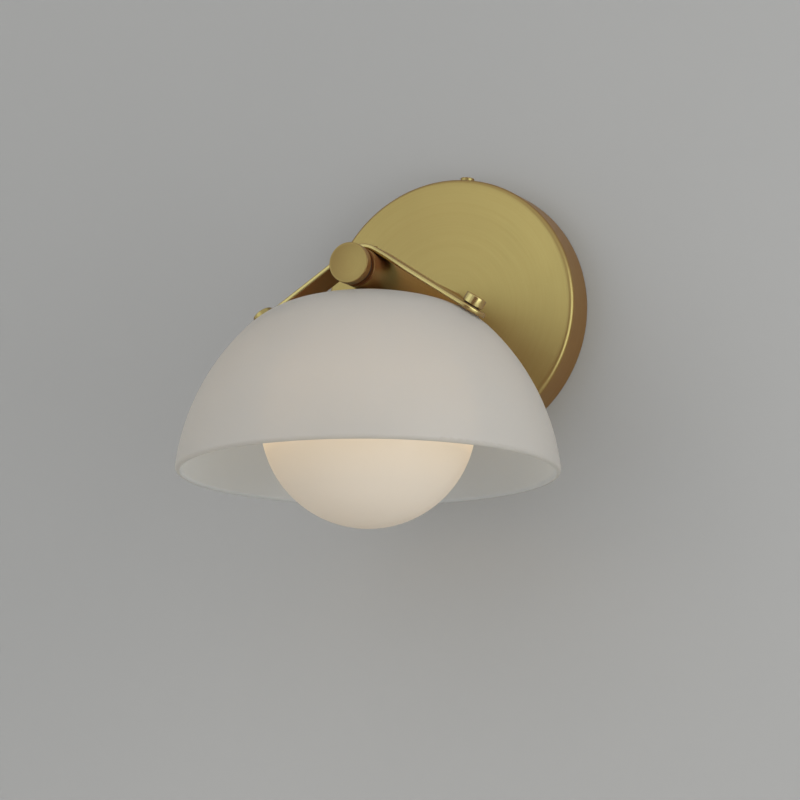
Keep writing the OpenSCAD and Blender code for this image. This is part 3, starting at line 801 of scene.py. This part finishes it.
# How far the wall and the floor reach to each side, upwards and forwards
WIDE = 3.0
# Painted light: how much lighter the wall's colour is painted towards the lower right, over this distance
# each way
WALL_PAINTED_LIGHT = 1.08
WALL_FADE = 0.15
WALL_SLOPE = (0.70, 0.0, -0.70)
# The hole in the wall that stands for the box behind the canopy
BOX_R = 0.061


def backdrop(name, corners, colour, slope, hole=0.0):
    """A wide one-sided surface: from behind it isn't seen and casts no shadow.

    Its colour is painted lighter along slope, as painted light, and it has a round hole of radius hole at
    the origin.
    """
    mesh = bpy.data.meshes.new(name)
    mesh.from_pydata(corners, [], [(0, 1, 2, 3)])
    mesh.update()
    m = Mat(name)
    p = m.position()
    grain = m.noise(p, scale=260.0, detail=4.0, rough=0.6)
    cloud = m.noise(p, scale=3.0, detail=3.0, rough=0.5)
    base = m.drift(cloud, shaded(colour, 0.985), shaded(colour, 1.015))
    # Painted light: the colour gets lighter along slope
    painted_lift = m.span(m.vector("DOT_PRODUCT", p, slope), 1.0, WALL_PAINTED_LIGHT, -WALL_FADE, WALL_FADE)
    m.set(Base_Color=m.brighten(base, painted_lift), Roughness=0.85, Specular_IOR_Level=0.1,
          Normal=m.bump(grain, strength=0.12, distance=0.0003))
    behind = m.add("ShaderNodeNewGeometry").outputs["Backfacing"]
    in_hole = m.math("LESS_THAN", m.vector("LENGTH", p), hole)
    clear = m.add("ShaderNodeBsdfTransparent").outputs[0]
    m.show(m.mix_shader(m.math("MAXIMUM", behind, in_hole), m.bsdf.outputs[0], clear))
    mesh.materials.append(m.mat)
    new_object(name, mesh)


wall_corners = [(-WIDE, WALL_Y, FLOOR_Z), (WIDE, WALL_Y, FLOOR_Z), (WIDE, WALL_Y, WIDE),
                (-WIDE, WALL_Y, WIDE)]
floor_corners = [(-WIDE, -WIDE, FLOOR_Z), (WIDE, -WIDE, FLOOR_Z), (WIDE, WALL_Y, FLOOR_Z),
                 (-WIDE, WALL_Y, FLOOR_Z)]
backdrop("wall", wall_corners, linear(161, 161, 160), WALL_SLOPE, hole=BOX_R)
backdrop("floor", floor_corners, linear(214, 212, 208), (0.0, 0.0, 0.0))


# Light

ROOM_COLOUR = (0.98, 0.99, 1.0)
ROOM_BRIGHT = 0.98
ROOM_DIM = 0.15
# The direction from the origin to the photograph's camera, and how close to it, as a cosine,
# the room starts to be dimmer and is dimmest
TO_CAMERA = (0.381, -0.903, -0.201)
DIM_EDGE = 0.86
DIM_CORE = 0.97


def area(name, at, to, size, power, colour):
    """A rectangular lamp that looks from one place to another."""
    data = bpy.data.lights.new(name, "AREA")
    data.shape = "RECTANGLE"
    data.size, data.size_y = size
    data.energy = power
    data.color = colour
    lamp = new_object(name, data)
    lamp.location = at
    lamp.rotation_mode = "QUATERNION"
    lamp.rotation_quaternion = (Vector(to) - Vector(at)).to_track_quat("-Z", "Y")


def light_room():
    """A bright room all round, dimmer where the photograph's camera stands."""
    world = bpy.data.worlds.new("world")
    scene.world = world
    world.use_nodes = True
    tree = world.node_tree
    sky = tree.nodes["Background"]
    sky.inputs["Color"].default_value = (*ROOM_COLOUR, 1.0)
    direction = tree.nodes.new("ShaderNodeTexCoord")
    toward = tree.nodes.new("ShaderNodeVectorMath")
    toward.operation = "DOT_PRODUCT"
    toward.inputs[1].default_value = TO_CAMERA
    dim = tree.nodes.new("ShaderNodeMapRange")
    dim.interpolation_type = "SMOOTHSTEP"
    for key, value in (("From Min", DIM_EDGE), ("From Max", DIM_CORE), ("To Min", ROOM_BRIGHT),
                       ("To Max", ROOM_DIM)):
        dim.inputs[key].default_value = value
    tree.links.new(direction.outputs["Generated"], toward.inputs[0])
    tree.links.new(toward.outputs["Value"], dim.inputs["Value"])
    tree.links.new(dim.outputs[0], sky.inputs["Strength"])


area("key", at=(-2.1, -2.7, 0.85), to=(0, -0.1, -0.03), size=(2.4, 2.4), power=14.0,
     colour=(1.0, 0.985, 0.96))
area("fill", at=(2.0, -0.85, -0.05), to=(0, -0.05, -0.03), size=(1.6, 2.2), power=26.0,
     colour=(1.0, 1.0, 0.99))
light_room()
scene.view_settings.view_transform = "Standard"
